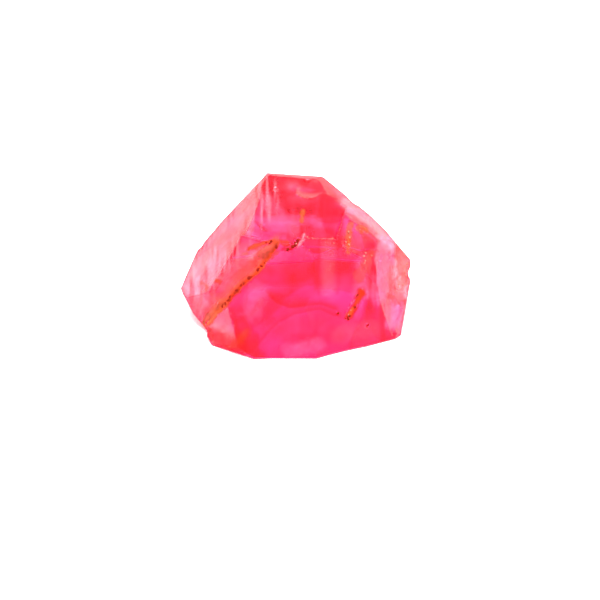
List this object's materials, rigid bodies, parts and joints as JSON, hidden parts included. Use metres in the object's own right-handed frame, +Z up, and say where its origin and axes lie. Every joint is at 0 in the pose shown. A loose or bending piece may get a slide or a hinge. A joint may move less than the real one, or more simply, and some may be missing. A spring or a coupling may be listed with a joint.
{
  "type": "raw spinel crystal",
  "caption": "Rough, see-through pink crystal: part of an octahedron with flat and shell-like fracture faces and a rust-stained crack, lying on one flat fracture.",
  "frame": {"origin": "middle of the bottom of the stone's box, on the surface that it lies on", "axes": "+X to the right along the stone's longest extent as the main face is looked at, +Y away from the main face towards the far side, +Z up"},
  "size_m": [0.008, 0.0058, 0.0044],
  "materials": {
    "spinel": "clear pink gem crystal with a glassy lustre on shell-like fractures, slightly frosted ledges and edges",
    "iron_oxide": "dark brown iron oxide grains in cracks and pits, earthy, with an orange stain round them"
  },
  "bodies": {
    "root": {"crystal": "spinel"}
  },
  "joints": []
}
